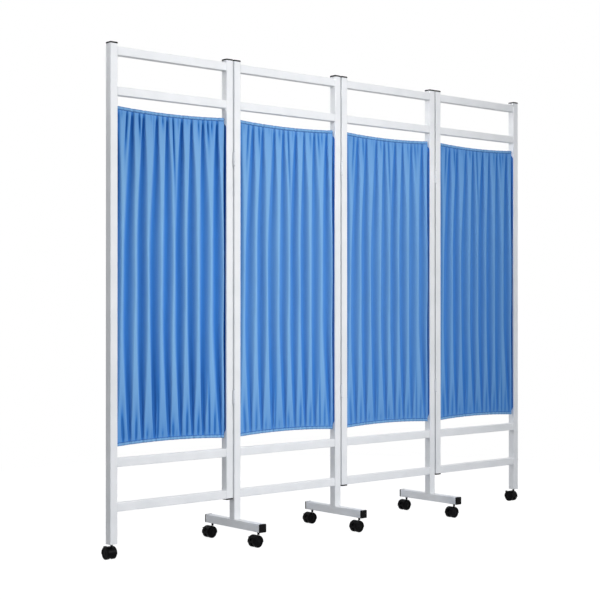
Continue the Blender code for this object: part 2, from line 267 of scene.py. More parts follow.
studio = {
    "roomLight": 0.36,
    "roomColour": "#F7FAFF",
    "floorColour": "#C5C5C5",
    "floorReach": 12,  # metres from the middle to each side
    "floorGlow": 1.34,  # what the camera sees of the floor besides its shade
    "floorShade": 0.3,
    "shadeReach": (1.3, 2.4),  # metres from the middle, where the shade ends
}
# Places, aims and sizes are in metres, spreads in degrees, powers in watts
lamps = {
    "key": {"place": (0.9, -3.9, 2.5), "aim": (-0.6, 0.0, 0.70), "size": 1.3, "spread": 65, "power": 17.9},
    "fill": {"place": (-2.9, -0.35, 2.6), "aim": (-0.6, 0.0, 1.4), "size": 1.2, "spread": 180, "power": 9.5},
    # lights the left sides of the far uprights, the rear lamp too, from behind and under the curtains
    "beam": {"place": (-3.6, -0.82, 2.0), "aim": (0.75, 0.0, 1.5), "size": 0.35, "spread": 16, "power": 0.40},
    "rear": {"place": (-0.35, 1.9, 1.7), "aim": (0.9, 0.0, 1.1), "size": 0.8, "spread": 120, "power": 12.5},
}


def whiteRays(tree):
    # 1 for camera, glossy and transmission rays, which see the room and the floor as plain white
    path = addNode(tree, "LightPath").outputs
    seen = addNode(tree, "Math", {0: path["Is Camera Ray"], 1: path["Is Glossy Ray"]}, use_clamp=True)
    through = addNode(tree, "Math", {0: seen.outputs[0], 1: path["Is Transmission Ray"]}, use_clamp=True)
    return through.outputs[0]


world = bpy.data.worlds.new("room")
bpy.context.scene.world = world
world.use_nodes = True
tree = world.node_tree
tree.nodes.clear()
soft = addNode(tree, "Background", {"Color": hexColour(studio["roomColour"]), "Strength": studio["roomLight"]})
bright = addNode(tree, "Background", {"Color": (1, 1, 1, 1), "Strength": 1.0})
mixed = addNode(tree, "MixShader", {"Fac": whiteRays(tree), 1: soft.outputs[0], 2: bright.outputs[0]})
addNode(tree, "OutputWorld", {"Surface": mixed.outputs[0]})

for name, facts in lamps.items():
    lampData = bpy.data.lights.new(f"{name}Lamp", "AREA")
    lampData.shape = "DISK"
    lampData.size = facts["size"]
    lampData.spread = radians(facts["spread"])
    lampData.energy = facts["power"]
    lamp = addObject(f"{name}Lamp", lampData)
    lamp.visible_camera = lamp.visible_glossy = name != "rear"
    lamp.location = facts["place"]
    aim = Vector(facts["aim"]) - Vector(facts["place"])
    lamp.rotation_euler = aim.to_track_quat("-Z", "Y").to_euler()

# Floor: matt white vinyl, bright to the camera and still shaded under the screen
floorMaterial, tree, shader = newMaterial("matt white vinyl floor", {
    "Base Color": studio["floorColour"], "Roughness": 0.9, "Specular IOR Level": 0.1})
away = addNode(tree, "VectorMath", {"Vector": addNode(tree, "TexCoord").outputs["Object"]}, operation="LENGTH")
near, far = studio["shadeReach"]
plain, level = (addNode(tree, "MapRange", {
    "Value": away.outputs["Value"], "From Min": near, "From Max": far, "To Min": start, "To Max": 1.0},
    interpolation_type="SMOOTHSTEP") for start in (1 - studio["floorShade"], studio["floorGlow"]))
share = addNode(tree, "Math", {0: whiteRays(tree), 1: plain.outputs["Result"]}, operation="MULTIPLY")
glow = addNode(tree, "Emission", {"Color": (1, 1, 1, 1), "Strength": level.outputs["Result"]})
addNode(tree, "MixShader", {"Fac": share.outputs[0], 1: shader.outputs[0], 2: glow.outputs[0]},
        tree.nodes["Material Output"].inputs["Surface"])
bm = bmesh.new()
bmesh.ops.create_grid(bm, x_segments=8, y_segments=8, size=studio["floorReach"])
addObject("floor", meshFrom("floor", bm, floorMaterial))
print("camera, lamps and floor")

# Materials of the hard parts


def hardSurface(name, look, grain, detail, relief=None, roughness=None, cloud=None):
    # grain is the size of the fine pattern that gives relief (metres, strength) and roughness (least, most),
    # cloud the size and detail of a slower one, and the tones it runs between
    material, tree, shader = newMaterial(name, look)
    spot = addNode(tree, "TexCoord").outputs["Object"]
    fine = addNode(tree, "TexNoise", {"Vector": spot, "Scale": 1 / grain, "Detail": detail}).outputs[0]
    if relief:
        addNode(tree, "Bump", {"Height": fine, "Distance": relief[0], "Strength": relief[1]},
                shader.inputs["Normal"])
    if roughness:
        addNode(tree, "MapRange", {"Value": fine, "To Min": roughness[0], "To Max": roughness[1]},
                shader.inputs["Roughness"])
    if cloud:
        size, cloudDetail, tones = cloud
        slow = addNode(tree, "TexNoise", {"Vector": spot, "Scale": 1 / size, "Detail": cloudDetail})
        shift = addNode(tree, "ValToRGB", {"Fac": slow.outputs[0]}, shader.inputs["Base Color"])
        setTones(shift.color_ramp, tones)
    return material


# Polyester powder coat on steel tube, sprayed and baked: satin white with a faint orange peel
powderCoat = hardSurface("satin white powder coat", {
    "Base Color": "#F3F4F6", "Roughness": 0.42, "Specular IOR Level": 0.35,
    "Coat Weight": 0.06, "Coat Roughness": 0.25},
    grain=0.0022, detail=1.0, relief=(0.0002, 0.12), cloud=(0.09, 3.0, ((0.3, "#EDEFF1"), (0.7, "#F5F6F8"))))

# Injection-moulded polyethylene: deep black with a soft waxy gloss and a fine spark-eroded grain
blackCap = hardSurface("moulded black polyethylene", {
    "Base Color": "#09090A", "Roughness": 0.42, "IOR": 1.51, "Specular IOR Level": 0.07},
    grain=0.0006, detail=2.0, relief=(0.0001, 0.2), roughness=(0.36, 0.5))


# Glass-filled nylon of the castors: black, a little greyer where the mould's texture scatters light
def nylon(name, dark, pale, roughness):
    return hardSurface(name, {
        "Base Color": dark, "Roughness": roughness, "IOR": 1.53, "Specular IOR Level": 0.045},
        grain=0.0009, detail=3.0, relief=(0.0001, 0.25), roughness=(roughness - 0.06, roughness + 0.08),
        cloud=(0.012, 2.0, ((0.35, dark), (0.7, pale))))


hoodNylon = nylon("moulded black nylon", "#040405", "#0B0B0C", 0.36)
wheelNylon = nylon("turned black polyamide tread", "#050506", "#0C0C0E", 0.46)
leverNylon = nylon("moulded black nylon lever", "#040405", "#0B0B0D", 0.34)

# Bright zinc plating: a cool grey metal with a broken, slightly cloudy shine
zincPlate = hardSurface("zinc-plated steel", {"Base Color": "#C6C9CE", "Metallic": 1.0, "Roughness": 0.3},
                        grain=0.004, detail=4.0, relief=(0.0001, 0.1), roughness=(0.22, 0.42))

# Black oxide on the castor's steel stem: nearly black with a low oily shine
blackSteel = hardSurface("black oxide steel", {"Base Color": "#151517", "Metallic": 1.0, "Roughness": 0.38},
                         grain=0.003, detail=3.0, roughness=(0.28, 0.45))
print("hard materials")

# Panel frames

tube = {
    "side": 0.028,
    "wall": 0.001,
    "corner": 0.0022,
    "top": 1.665,
    "railDepth": 0.026,
    "railHeight": 0.028,
    "rails": (1.6405, 1.511, 0.3125, 0.1685),  # heights of the rails' middles
    "shortLeg": 0.1535,
    "footLeg": 0.0793,
    "endLeg": 0.051,
}
hinge = {
    "heights": (0.504, 1.325),
    "length": 0.048,
    "middle": 0.018,  # length of the middle knuckle
    "clearance": 0.0005,
    "radius": 0.0054,
    "bore": 0.00235,
    "chamfer": 0.0005,
    "halfGap": 0.003,
    "y": -0.017874,
}
weld = {
    "radius": 0.0016,
    "flushRadius": 0.0009,  # ground down on the front and back
    "flushFrom": 0.0105,  # metres from the rail's middle
    "flushOver": 0.0025,
    "lift": 0.0002,
    "ripple": 0.0024,
    "swing": 0.13,
    # the two beads that hold a knuckle: place across from the pin, depth and radius
    "knuckleBeads": ((0.0039, -0.0145, 0.0016), (0.0022, -0.0143, 0.0019)),
    "knuckleEnd": 0.0005,  # bare metal before and after such a bead
}


def addTube(bm, low, high, centre, axis="Z"):
    # a hollow tube with rounded corners
    half, corner, wall = tube["side"] / 2, tube["corner"], tube["wall"]
    outer = roundedSquare(half, half, corner)
    inner = roundedSquare(half - wall, half - wall, corner - wall)
    skin(bm, [ringAt(outer, low, axis, centre), ringAt(outer, high, axis, centre),
              ringAt(inner, high, axis, centre), ringAt(inner, low, axis, centre)], "joined")


def addRail(bm, left, right, height):
    # a rail between two uprights, with a weld bead round each end
    depth, rise, bite, lift = tube["railDepth"] / 2, tube["railHeight"] / 2, tube["wall"], weld["lift"]
    outline = roundedSquare(depth, rise, tube["corner"])
    skin(bm, [ringAt(outline, along, "X", (0, 0, height)) for along in (left - bite, right + bite)])
    count = 4 * round(4 * (depth + rise) / weld["ripple"])
    places = walk(roundedSquare(depth + lift, rise + lift, tube["corner"]), count)
    for side, x in ((-1, left), (1, right)):
        path, radii = [], []
        for step, (u, v) in enumerate(places):
            path.append(Vector((x - side * lift, u, height + v)))
            flush = clamped((abs(u) - weld["flushFrom"]) / weld["flushOver"])
            size = weld["radius"] + (weld["flushRadius"] - weld["radius"]) * flush
            radii.append(size * (1 + weld["swing"] * cos(step * pi / 2 + side)))
        addBead(bm, path, (1, 0, 0), radii)


def addKnuckle(bm, axisX, side, low, high):
    chamfer, radius, bore = hinge["chamfer"], hinge["radius"], hinge["bore"]
    profile = [(low, bore), (low, radius - chamfer), (low + chamfer, radius),
               (high - chamfer, radius), (high, radius - chamfer), (high, bore)]
    turned(bm, profile, centre=(axisX, hinge["y"], 0), segments=36, ends="joined")
    start, run = low + weld["knuckleEnd"], high - low - 2 * weld["knuckleEnd"]
    count = max(6, round(run / weld["ripple"] * 4))
    for across, depth, size in weld["knuckleBeads"]:
        path = [Vector((axisX + side * across, depth, start + run * step / count)) for step in range(count + 1)]
        radii = [size * (1 + weld["swing"] * cos(step * pi / 2)) for step in range(count + 1)]
        radii[0] = radii[-1] = size / 2
        addBead(bm, path, (0, 1, 0), radii, 8, False)


def knuckleSpans(height, outer):
    reach, middle = hinge["length"] / 2, hinge["middle"] / 2
    if outer:
        return ((height - reach, height - middle - hinge["clearance"]),
                (height + middle + hinge["clearance"], height + reach))
    return ((height - middle, height + middle),)


panels = {
    1: {"bottoms": ("endLeg", "shortLeg"), "hinges": (None, "middle")},
    2: {"bottoms": ("footLeg", "footLeg"), "hinges": ("outer", "outer")},
    3: {"bottoms": ("shortLeg", "footLeg"), "hinges": ("middle", "outer")},
    4: {"bottoms": ("shortLeg", "endLeg"), "hinges": ("middle", None)},
}
for panel, facts in panels.items():
    legs = [middleOf(f"panel_{panel}_{side}_top_cap").x for side in ("left", "right")]
    bm = bmesh.new()
    for legX, bottom in zip(legs, facts["bottoms"]):
        addTube(bm, tube[bottom], tube["top"], (legX, 0, 0))
    for height in tube["rails"]:
        addRail(bm, legs[0] + tube["side"] / 2, legs[1] - tube["side"] / 2, height)
    reach = tube["side"] / 2 + hinge["halfGap"]
    hingeSides = ((legs[0] - reach, 1, facts["hinges"][0]), (legs[1] + reach, -1, facts["hinges"][1]))
    for axisX, side, kind in hingeSides:
        if kind:
            for height in hinge["heights"]:
                for low, high in knuckleSpans(height, kind == "outer"):
                    addKnuckle(bm, axisX, side, low, high)
    facts["legs"] = legs
    facts["frame"] = addPiece(f"panel{panel}Frame", meshFrom(f"panel{panel}Frame", bm, powderCoat),
                              f"panel_{panel}", [f"panel_{panel}_frame"])
print("panel frames")

# Hinge pins with formed heads
pin = {
    "reach": 0.0243,  # from the pin's middle to its head
    # height over the reach, and radius
    "head": ((0.0, 0.002), (0.0, 0.003), (0.0002, 0.0032), (0.0006, 0.0029), (0.001, 0.0018), (0.0012, 0.0004)),
}
bm = bmesh.new()
head = [(pin["reach"] + rise, radius) for rise, radius in pin["head"]]
turned(bm, [(-along, radius) for along, radius in reversed(head)] + head, segments=24)
pinMesh = meshFrom("hingePin", bm, zincPlate)
for joint, carrier in (("12", 2), ("23", 2), ("34", 3)):
    for level in ("lower", "upper"):
        node = f"hinge_{joint}_{level}_pin"
        addPiece(f"hinge{joint}{level.title()}Pin", pinMesh, f"panel_{carrier}", [node],
                 middleOf(node))
print("hinge pins")

# Moulded caps: a crowned flange on the tube's end and a plug in its bore, z up from the end

cap = {
    "gap": 0.0003,
    "flange": 0.0031,
    "lip": 0.0018,  # laps over the tube's outside
    "lipWall": 0.0004,
    "lipRound": (0.0001, 0.0002),
    "overhang": 0.0005,
    "round": 0.0013,
    "crown": 0.0004,
    "crownSteps": (0.8, 0.55, 0.3),
    "plug": 0.010,
    "plugHalf": 0.0127,
    "plugTaper": (0.001, 0.0015),
    "gate": ((0.0016, 0.0), (0.00128, 0.0003), (0.00048, 0.0002)),  # half width and depth of the moulding mark
}


def capMesh():
    half = tube["side"] / 2 + cap["overhang"]
    inner = half - cap["round"]
    plug, wall, low, top = cap["plugHalf"], cap["lipWall"], -cap["lip"], cap["gap"] + cap["flange"]
    taperIn, taperUp = cap["plugTaper"]
    roundIn, roundUp = cap["lipRound"]
    rings = [(plug - taperIn, -cap["plug"]), (plug, taperUp - cap["plug"]), (plug, cap["gap"]),
             (half - wall, cap["gap"]), (half - wall, low), (half - roundIn, low), (half, low + roundUp)]
    rings += [(inner + u, top - cap["round"] + v) for u, v in arc(cap["round"], 0, pi / 2, 5)]
    rings += [(inner * share, top + cap["crown"] * (1 - share ** 2)) for share in cap["crownSteps"]]
    rings += [(size, top + cap["crown"] - depth) for size, depth in cap["gate"]]
    bm = bmesh.new()
    skin(bm, [ringAt(roundedSquare(size, size, min(tube["corner"] + cap["overhang"], size * 0.98)), along)
              for size, along in rings])
    return meshFrom("tubeCap", bm, blackCap)


sharedCap = capMesh()
for panel, facts in panels.items():
    for side, legX in zip(("left", "right"), facts["legs"]):
        addPiece(f"panel{panel}{side.title()}TopCap", sharedCap, f"panel_{panel}",
                 [f"panel_{panel}_{side}_top_cap"], (legX, 0, tube["top"]))
for panel, side in ((1, 1), (3, 0), (4, 0)):  # the short legs
    addPiece(f"panel{panel}BottomCap", sharedCap, f"panel_{panel}", [f"panel_{panel}_bottom_cap"],
             (panels[panel]["legs"][side], 0, tube["shortLeg"]), (pi, 0, 0))
print("tube caps")

# Cross feet: a bar with a spigot up into the leg, and a cap in each end

foot = {"length": 0.300, "bottom": 0.051, "spigotHalf": 0.0127, "spigot": 0.040, "spigotTaper": 0.0015}
footLegs = {1: (2, 0), 2: (2, 1), 3: (3, 1)}  # the panel and side of the leg that each stands under
bm = bmesh.new()
barMiddle = foot["bottom"] + tube["side"] / 2
addTube(bm, -foot["length"] / 2, foot["length"] / 2, (0, 0, barMiddle), "Y")
low = foot["bottom"] + tube["side"] - tube["wall"] / 2
high, half, slim = low + foot["spigot"], foot["spigotHalf"], foot["spigotHalf"] - foot["spigotTaper"]
full = roundedSquare(half, half, tube["corner"])
skin(bm, [ringAt(full, low), ringAt(full, high - foot["spigotTaper"]),
          ringAt(roundedSquare(slim, slim, tube["corner"] / 2), high)])
footMesh = meshFrom("footBar", bm, powderCoat)
for number, (panel, side) in footLegs.items():
    legX = panels[panel]["legs"][side]
    addPiece(f"foot{number}Bar", footMesh, f"panel_{panel}", [f"foot_{number}_bar"], (legX, 0, 0))
    for end, sign in (("front", -1), ("rear", 1)):
        place, turn = (legX, sign * foot["length"] / 2, barMiddle), (-sign * pi / 2, 0, 0)
        addPiece(f"foot{number}{end.title()}Cap", sharedCap, f"panel_{panel}",
                 [f"foot_{number}_{end}_cap"], place, turn)
for panel in (1, 4):
    socket = frame["nodes"][f"panel_{panel}_stem_socket"].data
    socket.materials.clear()
    socket.materials.append(zincPlate)
print("cross feet")

# Castors, in their own place: swivel axis at x = y = 0, floor at z = 0, wheels trailing to +X

castor = {
    "axleX": 0.013,
    "axleZ": 0.019616,
    "axleHalf": 0.006,
    "axleRadius": 0.0025,
    "wheelRadius": 0.0196,
    "wheelInner": 0.0053,
    "wheelOuter": 0.0173,
    "treadRound": 0.0016,
    # the wheel's two faces: place out from the face, and radius
    "innerFace": ((-0.0006, 0.0036), (-0.0006, 0.005), (0.0004, 0.0055), (0.0004, 0.0161), (0, 0.0166)),
    "outerFace": ((0, 0.0166), (-0.0005, 0.0163), (-0.0005, 0.0157), (0, 0.0154), (0, 0.0135),
                  (-0.0012, 0.0126), (-0.0013, 0.0078), (-0.0006, 0.0062), (-0.0006, 0.0046),
                  (-0.0001, 0.0039), (0, 0.003), (0.0001, 0.0006)),
    "hoodRadius": 0.0224,
    "hoodHalf": 0.0179,
    "shoulder": 0.0034,
    "rim": ((0.0004, 0.0190), (0.0006, 0.0195), (0.0016, 0.0209)),  # in from the hood's side, and radius
    "skirt": 0.003,
    "webHalf": 0.0047,
    "webBevel": 0.0004,
    "webInset": 0.0006,
    "lugRadius": 0.0085,
    "boss": ((0.024, 0.0098), (0.033, 0.0096), (0.037, 0.0088), (0.0405, 0.0072), (0.043, 0.0062),
             (0.0449, 0.0057), (0.0455, 0.0052), (0.0456, 0.0038)),  # height and radius
    "stemRadius": 0.004,
    "stemBottom": 0.0405,
    "stemTop": 0.065,
    "stemChamfer": 0.001,
    "collar": (0.0487, 0.0507),  # heights of its two faces
    "collarRadius": 0.0052,
    "collarChamfer": 0.0003,
}
lever = {
    "x": 0.024878,  # its pivot, from the swivel axis
    "rise": 33,  # degrees
    "hubRadius": 0.0032,
    "hubHalf": 0.003,
    "hubChamfer": 0.0004,
    "pinRadius": 0.0014,
    "pinHalf": 0.0047,
    # the arm and its tab: place along, half width, half thickness and lift
    "arm": ((0, 0.003, 0.0013, 0), (0.009, 0.003, 0.0013, 0), (0.0101, 0.0042, 0.0013, 0),
            (0.0108, 0.0062, 0.0013, 0), (0.0116, 0.007, 0.0013, 0), (0.016, 0.007, 0.0013, 0.0002),
            (0.0176, 0.0064, 0.0013, 0.0004), (0.0183, 0.0054, 0.001105, 0.0005),
            (0.0186, 0.0042, 0.00065, 0.0006)),
    "edge": 0.0008,
    "ribs": ((0.0119, 0.0013), (0.0131, 0.0013333), (0.0143, 0.0013667), (0.0155, 0.0014)),  # place and height
    "ribHalf": 0.0056,
    "ribRadii": (0.0002, *[0.00042] * 7, 0.0002),
    "slotHalf": 0.0034,
    "slotLow": 0.0238,
    "slotHigh": 0.0346,
    "slotCorner": 0.001,
    "slotDepth": 0.004,
    "slotEnd": 0.05,
}


def hoodMesh():
    half, radius, shoulder, web, bevel = (castor[key] for key in (
        "hoodHalf", "hoodRadius", "shoulder", "webHalf", "webBevel"))
    axle = Vector((castor["axleX"], 0, castor["axleZ"]))
    bm = bmesh.new()
    side = [(half - shoulder + u, radius - shoulder + v) for u, v in arc(shoulder, 0, pi / 2, 6)]
    rim = [(half - inset, size) for inset, size in castor["rim"]]
    section = [(-across, size) for across, size in side] + side[::-1]
    section += rim + [(-across, size) for across, size in rim[::-1]]
    low = -castor["skirt"] / radius
    sweep = pi - 2 * low
    skin(bm, [[axle + Vector((size * u, across, size * v)) for across, size in section]
              for u, v in arc(1, low, sweep, 48)])
    # the web between the wheels, and the lug round the axle
    outline = arc(radius - castor["webInset"], low, sweep, 36) + arc(castor["lugRadius"], pi, pi, 16)
    slim = [(u * (1 - bevel / radius), v) for u, v in outline]
    skin(bm, [ringAt(shape, across, "Y", axle) for shape, across in (
        (slim, -web), (outline, bevel - web), (outline, web - bevel), (slim, web))])
    turned(bm, castor["boss"])  # swells out of the hood's top and carries the stem
    slot = bmesh.new()
    outline = roundedSquare((lever["slotHigh"] - lever["slotLow"]) / 2, lever["slotHalf"], lever["slotCorner"])
    middle = (lever["slotHigh"] + lever["slotLow"]) / 2
    skin(slot, [[Vector((x, v, middle + u)) for u, v in outline]
                for x in (lever["x"] - lever["slotDepth"], lever["slotEnd"])])
    return carve("castorHood", meshFrom("castorHood", bm, hoodNylon), [meshFrom("slot", slot, hoodNylon)])


def stemMesh():
    radius, collar, chamfer, top = (castor[key] for key in (
        "stemRadius", "collarRadius", "collarChamfer", "stemTop"))
    low, high = castor["collar"]
    bm = bmesh.new()
    turned(bm, [(castor["stemBottom"], radius), (low, radius), (low, collar - chamfer), (low + chamfer, collar),
                (high - chamfer, collar), (high, collar - chamfer), (high, radius),
                (top - castor["stemChamfer"], radius), (top, radius - castor["stemChamfer"])], segments=32)
    return meshFrom("castorStem", bm, blackSteel)


def wheelsMesh():
    inner, outer, radius, tread = (castor[key] for key in (
        "wheelInner", "wheelOuter", "wheelRadius", "treadRound"))
    corner = [(tread - u, radius - tread + v) for u, v in arc(tread, 0, pi / 2, 4)]
    profile = [(inner + out, size) for out, size in castor["innerFace"]]
    profile += [(inner + inset, size) for inset, size in corner]
    profile += [(outer - inset, size) for inset, size in corner[::-1]]
    profile += [(outer + out, size) for out, size in castor["outerFace"]]
    bm = bmesh.new()
    for side in (-1, 1):
        turned(bm, [(side * along, size) for along, size in profile], "Y", segments=64)
    turned(bm, [(side * castor["axleHalf"], castor["axleRadius"]) for side in (-1, 1)], "Y", segments=24)
    return meshFrom("castorWheels", bm, wheelNylon, "moulded")


def leverMesh():
    half, radius, chamfer = lever["hubHalf"], lever["hubRadius"], lever["hubChamfer"]
    bm = bmesh.new()
    turned(bm, [(-half, radius - chamfer), (chamfer - half, radius), (half - chamfer, radius),
                (half, radius - chamfer)], "Y", segments=28)
    turned(bm, [(side * lever["pinHalf"], lever["pinRadius"]) for side in (-1, 1)], "Y", segments=16)
    skin(bm, [[Vector((x, u, lift + v)) for u, v in roundedSquare(wide, deep, min(lever["edge"], deep * 0.9))]
              for x, wide, deep, lift in lever["arm"]])
    for x, rise in lever["ribs"]:
        path = [Vector((x, lever["ribHalf"] * (step / 4 - 1), rise)) for step in range(9)]
        addBead(bm, path, (0, 0, 1), lever["ribRadii"], 8, False)
    bmesh.ops.transform(bm, matrix=Matrix.Rotation(-radians(lever["rise"]), 4, "Y"), verts=bm.verts)
    return meshFrom("brakeLever", bm, leverNylon)


sharedHood, sharedStem, sharedWheels, sharedLever = hoodMesh(), stemMesh(), wheelsMesh(), leverMesh()
joints = {joint["name"]: joint for joint in frame["joints"]}
castorNames = [name[:-len("_swivel_turn")] for name in joints if name.endswith("_swivel_turn")]
for name in castorNames:
    pivot = Vector(joints[f"{name}_swivel_turn"]["pos_m"])
    axle = Vector(joints[f"{name}_wheel_roll"]["pos_m"])
    trail = Vector((axle.x - pivot.x, axle.y - pivot.y, 0))
    turn = (0, 0, Vector((1, 0, 0)).rotation_difference(trail).to_euler().z)
    base = (pivot.x, pivot.y, 0)
    first, *others = name.split("_")
    label = first + "".join(word.title() for word in others)
    addPiece(f"{label}Hood", sharedHood, f"{name}_swivel", [f"{name}_castor_body"], base, turn)
    addPiece(f"{label}Stem", sharedStem, f"{name}_swivel", (), base, turn)
    addPiece(f"{label}Wheels", sharedWheels, f"{name}_wheels",
             [f"{name}_castor_wheels"], axle, turn)
    addPiece(f"{label}Lever", sharedLever, f"{name}_brake", [f"{name}_brake_lever"],
             Vector(joints[f"{name}_brake_press"]["pos_m"]), turn)
print("castors")

# Curtains: one gathered sheet a panel, with a hem channel at the top and at the bottom

curtain = {
    "width": 0.4434,
    "bottom": 0.363,
    "top": 1.4645,
    "sag": 0.0075,
    "foldDepth": 0.0098,
    "hemFoldDepth": 0.0028,
    "foldRise": 0.21,  # metres from the hem in which the folds open
    "held": 0.6,  # share of the depth that the folds keep in the stitching
    "freed": 0.006,  # metres from the stitching in which they get the rest
    "inHem": 0.0015,  # metres that the sheet runs on into the hems
    "setBack": 0.0004,
    "drift": (0.50, 0.42),  # metres below and above the hems in which the folds wander to their places
    "wander": 0.004,  # share of the width
    "ends": ((-0.004, -0.8), (1.004, -0.9)),  # place and level where the folds end at the uprights
    # how wide the crowns are near a hem, on falling and on rising sides: most, strength, reach and drop
    "flats": ((0.70, 0.80, 0.13, 0.04), (0.74, 1.15, 0.24, 0.15)),
    "creaseFlat": 1.12,  # a plateau and the flat of its crease, as a share of the plateau
    "roundness": 0.86,
    "ripple": (34, 7, 0.0005),  # ripples across, ripples a metre down, depth
    "columns": 320,
    "rows": 104,
    "rowCrowding": 0.45,
    "inset": 0.001,  # of the sheet's sides, as a share of the width
    # painted shade of each panel's curtain, for the light that falls off along the screen: its fold contrast
    # and how much darker it is overall
    "tints": {1: (1.0, 0.0), 2: (0.755, 0.055), 3: (0.59, 0.16), 4: (0.57, 0.23)},
}
# The last gather lies along the upright's side and comes forward on it; its dark blue is painted shade of the
# narrow gap beside the upright
edge = {
    "columns": 8,
    "start": 0.006,  # metres inside the sheet's top and bottom
    "rise": 0.016,
    "front": 0.0098,
    "sway": (0.0012, 5.3, 0.6),  # a slow wave: size, a metre of height, at the start
    "atTop": (0.003, 0.12),  # further forward under the top hem, and its reach
    "most": 0.0118,
    "slope": 0.0002,
    # painted shade of this gather
    "tone": 0.97,
}
# Painted shade of the folds, from 0 on a lit crown to the deepest crease: it darkens creases, gathers and the
# cloth near the hems; pairs are strength and reach in metres
paintedFoldShades = {
    "hemContrast": 0.84,  # by the hems, as a share of the contrast further on
    "gathers": 300,  # for a metre of depth
    # painted shade in crowded creases
    "creases": (0.10, 0.7),  # more in crowded creases, and the power that draws it in
    "crowding": (0.13, 0.12, 0.16),  # reach below the top hem, start and reach above the lower hem
    # painted shade under the top hem and over the lower hem
    "top": (0.36, 0.14),
    "bottom": (0.52, 0.2),
    "rising": 0.14,  # more on the sides that face away from the key lamp
    "stitched": (0.45, 0.02),  # contrast that is left at the stitching
    # painted shadow of the left upright on the cloth beside it
    "side": (0.5, 0.008),  # more beside the left upright, reach as a share of the width
    "deepest": (1.25, 0.22),  # and how much less over the lower hem
}
# Crowns and creases of the eight folds, as shares of the width: under the top hem, in the middle and over the
# lower hem; wander and level are slow waves in their place and in how far they stand out
crowns = {
    "top": (0.080, 0.200, 0.310, 0.415, 0.530, 0.645, 0.745, 0.865, 0.975),
    "middle": (0.045, 0.159, 0.278, 0.398, 0.506, 0.619, 0.738, 0.862, 0.980),
    "bottom": (0.062, 0.182, 0.292, 0.412, 0.530, 0.640, 0.750, 0.885, 0.990),
    "wander": (7.0, 1.7, 0.0),  # a metre of height, a fold, at the start
    "level": (1.0, -0.12, 3.1, 2.3),  # at rest, its change, a metre of height, a fold
}
creases = {
    "top": (0.149, 0.246, 0.368, 0.458, 0.598, 0.682, 0.792, 0.934),
    "middle": (0.103, 0.224, 0.338, 0.457, 0.568, 0.684, 0.801, 0.927),
    "bottom": (0.121, 0.235, 0.344, 0.478, 0.583, 0.696, 0.794, 0.970),
    "wander": (6.0, 2.1, 1.0),
    "level": (-1.0, 0.15, 2.7, 1.9),
}
# Short gathers that run out of each hem: place and drift as shares of the width, depth in metres, half width as
# a share, reach in metres
topGathers = (
    (0.022, 0, 0.003, 0.01, 0.4), (0.048, 0, 0.0016, 0.007, 0.022), (0.1, -0.024, 0.0047, 0.0088, 0.14),
    (0.206, 0.004, 0.0042, 0.0085, 0.08), (0.305, 0.004, 0.0014, 0.007, 0.02),
    (0.332, 0, 0.0012, 0.007, 0.11), (0.416, 0, 0.0034, 0.008, 0.035), (0.511, 0.014, 0.0046, 0.0076, 0.23),
    (0.556, 0, 0.0016, 0.007, 0.03), (0.64, 0, 0.0014, 0.007, 0.018), (0.748, 0.003, 0.0029, 0.0085, 0.06),
    (0.837, 0.01, 0.0036, 0.009, 0.085), (0.878, -0.002, 0.0032, 0.008, 0.045),
)
bottomGathers = (
    (0.066, -0.014, 0.005, 0.0095, 0.09), (0.177, 0, 0.0036, 0.0085, 0.085),
    (0.276, 0, 0.0022, 0.008, 0.035), (0.318, 0, 0.0012, 0.007, 0.02), (0.37, 0.01, 0.004, 0.0076, 0.21),
    (0.416, 0, 0.0018, 0.007, 0.025), (0.513, -0.003, 0.0034, 0.0085, 0.05),
    (0.543, 0, 0.0014, 0.007, 0.02), (0.641, 0, 0.0046, 0.0085, 0.085),
    (0.747, 0.002, 0.0034, 0.0085, 0.07), (0.854, -0.012, 0.0036, 0.0076, 0.22),
    (0.906, 0, 0.0034, 0.0085, 0.09),
)
gatherFade = {"end": 2.2, "spread": 0.5}  # reaches after which a gather is gone, and how much it widens in one


def ease(value):
    value = clamped(value)
    return value * value * (3 - 2 * value)


def evenShares(inset, count):
    # even steps across the width, inset from both sides
    return [inset + (1 - 2 * inset) * step / count for step in range(count + 1)]


def edgeHeight(share, top):
    # the hems' outer edges bow towards the curtain's middle height
    bow = curtain["sag"] * 4 * share * (1 - share)
    return curtain["top"] - bow if top else curtain["bottom"] + bow


def knotAt(folds, index, height, upper, lower):
    # where a crown or crease stands at this height, and its level
    perMetre, perFold, start = folds["wander"]
    middle = folds["middle"][index]
    wander = curtain["wander"] * sin(perMetre * height + perFold * index + start) * (1 - upper) * (1 - lower)
    place = middle + wander + upper * (folds["top"][index] - middle) + lower * (folds["bottom"][index] - middle)
    level, change, perMetre, perFold = folds["level"]
    return place, level + change * (0.5 + 0.5 * sin(perFold * index + perMetre * height))


def knotsAt(fromTop, fromBottom, height):
    upper, lower = 1 - ease(fromTop / curtain["drift"][0]), 1 - ease(fromBottom / curtain["drift"][1])
    knots = [curtain["ends"][0]]
    for index in range(len(crowns["middle"])):
        for folds in (crowns, creases):
            if index < len(folds["middle"]):
                knots.append(knotAt(folds, index, height, upper, lower))
    return knots + [curtain["ends"][1]]


def foldShape(share, knots, flats):
    # 1 on a crown and -1 in a crease, and how far up a rising side;
    # flats are the plateau's shares of the falling and the rising sides
    index = min(max(bisect_right([place for place, level in knots], share) - 1, 0), len(knots) - 2)
    (start, first), (end, second) = knots[index], knots[index + 1]
    along = clamped((share - start) / (end - start))
    flat = flats[0]
    if first < second:
        along, flat = 1 - along, flats[1]
    drop = clamped((along - flat) / (1 - curtain["creaseFlat"] * flat))
    fall = ease(drop ** curtain["roundness"])
    return max(first, second) - abs(first - second) * fall, 4 * fall * (1 - fall) * (first < second)


